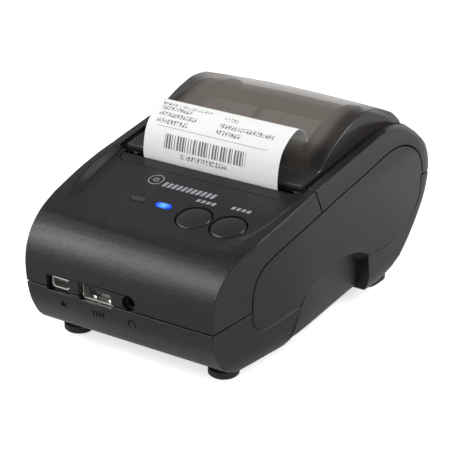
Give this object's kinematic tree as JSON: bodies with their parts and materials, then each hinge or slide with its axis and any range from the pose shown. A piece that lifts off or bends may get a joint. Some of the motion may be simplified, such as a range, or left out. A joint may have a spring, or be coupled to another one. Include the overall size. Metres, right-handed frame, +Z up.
{
  "type": "portable receipt printer",
  "caption": "Portable thermal receipt printer with a hinged lid and smoke window, push buttons, front sockets and a printed receipt coming out of the slot.",
  "frame": {"origin": "centre of the footprint box, on the table top", "axes": "+X to the right seen from the front, +Y from the front nose to the rear, +Z up"},
  "size_m": [0.091, 0.1428, 0.0735],
  "materials": {
    "case_plastic": "fine texture, black",
    "inner_plastic": "smooth, black",
    "smoke_plastic": "clear, smoke brown",
    "steel": "bright",
    "aluminium": "satin",
    "brass": "satin",
    "rubber": "matt black",
    "paper": "smooth white, thermal",
    "card": "grey brown",
    "white_plastic": "natural",
    "board": "green circuit board",
    "led_blue": "lit blue lens",
    "led_dim": "unlit grey lens",
    "battery_wrap": "blue wrap"
  },
  "bodies": {
    "base": {"lower_case": "case_plastic", "upper_case": "case_plastic", "tear_bar_bezel": "case_plastic", "tear_bar": "steel", "paper_bay": "inner_plastic", "mechanism_frame": "inner_plastic", "head_spring_left": "steel", "head_spring_right": "steel", "stepper_motor": "steel", "main_board": "board", "wireless_module": "steel", "buzzer": "inner_plastic", "mini_usb_socket": "steel", "usb_a_socket": "steel", "audio_jack": "inner_plastic", "key_board": "board", "mode_switch": "inner_plastic", "feed_switch": "inner_plastic", "status_led_lens": "led_dim", "power_led_lens": "led_blue", "battery_pack": "battery_wrap", "battery_contact_left": "brass", "battery_contact_right": "brass", "front_foot_left": "rubber", "front_foot_right": "rubber", "rear_foot_left": "rubber", "rear_foot_right": "rubber", "paper_sensor": "inner_plastic", "paper_web": "paper", "case_screw_1": "steel", "case_screw_2": "steel", "case_screw_3": "steel", "case_screw_4": "steel", "mechanism_screw_left": "steel", "mechanism_screw_right": "steel"},
    "lid": {"lid_frame": "case_plastic", "smoke_window": "smoke_plastic", "hinge_pin_left": "steel", "hinge_pin_right": "steel", "platen_bushing_left": "white_plastic", "platen_bushing_right": "white_plastic", "receipt": "paper"},
    "platen": {"platen_shaft": "steel", "platen_rubber": "rubber", "platen_gear": "white_plastic"},
    "roll": {"paper_roll": "paper", "roll_core": "card"},
    "head": {"print_head": "aluminium"},
    "pinion": {"motor_pinion": "brass"},
    "reduction": {"reduction_gear": "white_plastic"},
    "mode": {"mode_button": "case_plastic"},
    "feed": {"feed_button": "case_plastic"},
    "door": {"battery_door": "case_plastic"}
  },
  "joints": [
    {"name": "lid_hinge", "type": "hinge", "parent": "base", "child": "lid", "pos_m": [0, 0.0694, 0.0404], "axis": [-1, 0, 0], "range_deg": [0, 90]},
    {"name": "mode_button_press", "type": "slide", "parent": "base", "child": "mode", "axis": [0, 0.2121, -0.9773], "range_m": [0, 0.0005], "stiffness_N_per_m": 400, "springref_m": -0.0005},
    {"name": "feed_button_press", "type": "slide", "parent": "base", "child": "feed", "axis": [0, 0.2121, -0.9773], "range_m": [0, 0.0005], "stiffness_N_per_m": 400, "springref_m": -0.0005},
    {"name": "platen_spin", "type": "hinge", "parent": "lid", "child": "platen", "pos_m": [0, -0.0084, 0.048], "axis": [1, 0, 0], "continuous": true},
    {"name": "reduction_gear_spin", "type": "hinge", "parent": "base", "child": "reduction", "pos_m": [0.038, -0.00923, 0.03954], "axis": [1, 0, 0], "continuous": true},
    {"name": "motor_pinion_spin", "type": "hinge", "parent": "base", "child": "pinion", "pos_m": [0.038, -0.02084, 0.03086], "axis": [1, 0, 0], "continuous": true},
    {"name": "paper_roll_spin", "type": "hinge", "parent": "base", "child": "roll", "pos_m": [0, 0.0266, 0.044], "axis": [1, 0, 0], "continuous": true},
    {"name": "print_head_rock", "type": "hinge", "parent": "base", "child": "head", "pos_m": [0, -0.0156, 0.0422], "axis": [1, 0, 0], "range_deg": [0, 1.5], "stiffness_Nm_per_rad": 0.09, "springref_deg": -2.86},
    {"name": "battery_door_slide", "type": "slide", "parent": "base", "child": "door", "axis": [0, 1, 0], "range_m": [0, 0.008]}
  ],
  "couplings": [
    {"joint": "reduction_gear_spin", "follows": "platen_spin", "ratio": -1.3333},
    {"joint": "motor_pinion_spin", "follows": "platen_spin", "ratio": 5.0667},
    {"joint": "paper_roll_spin", "follows": "platen_spin", "ratio": 0.25}
  ]
}
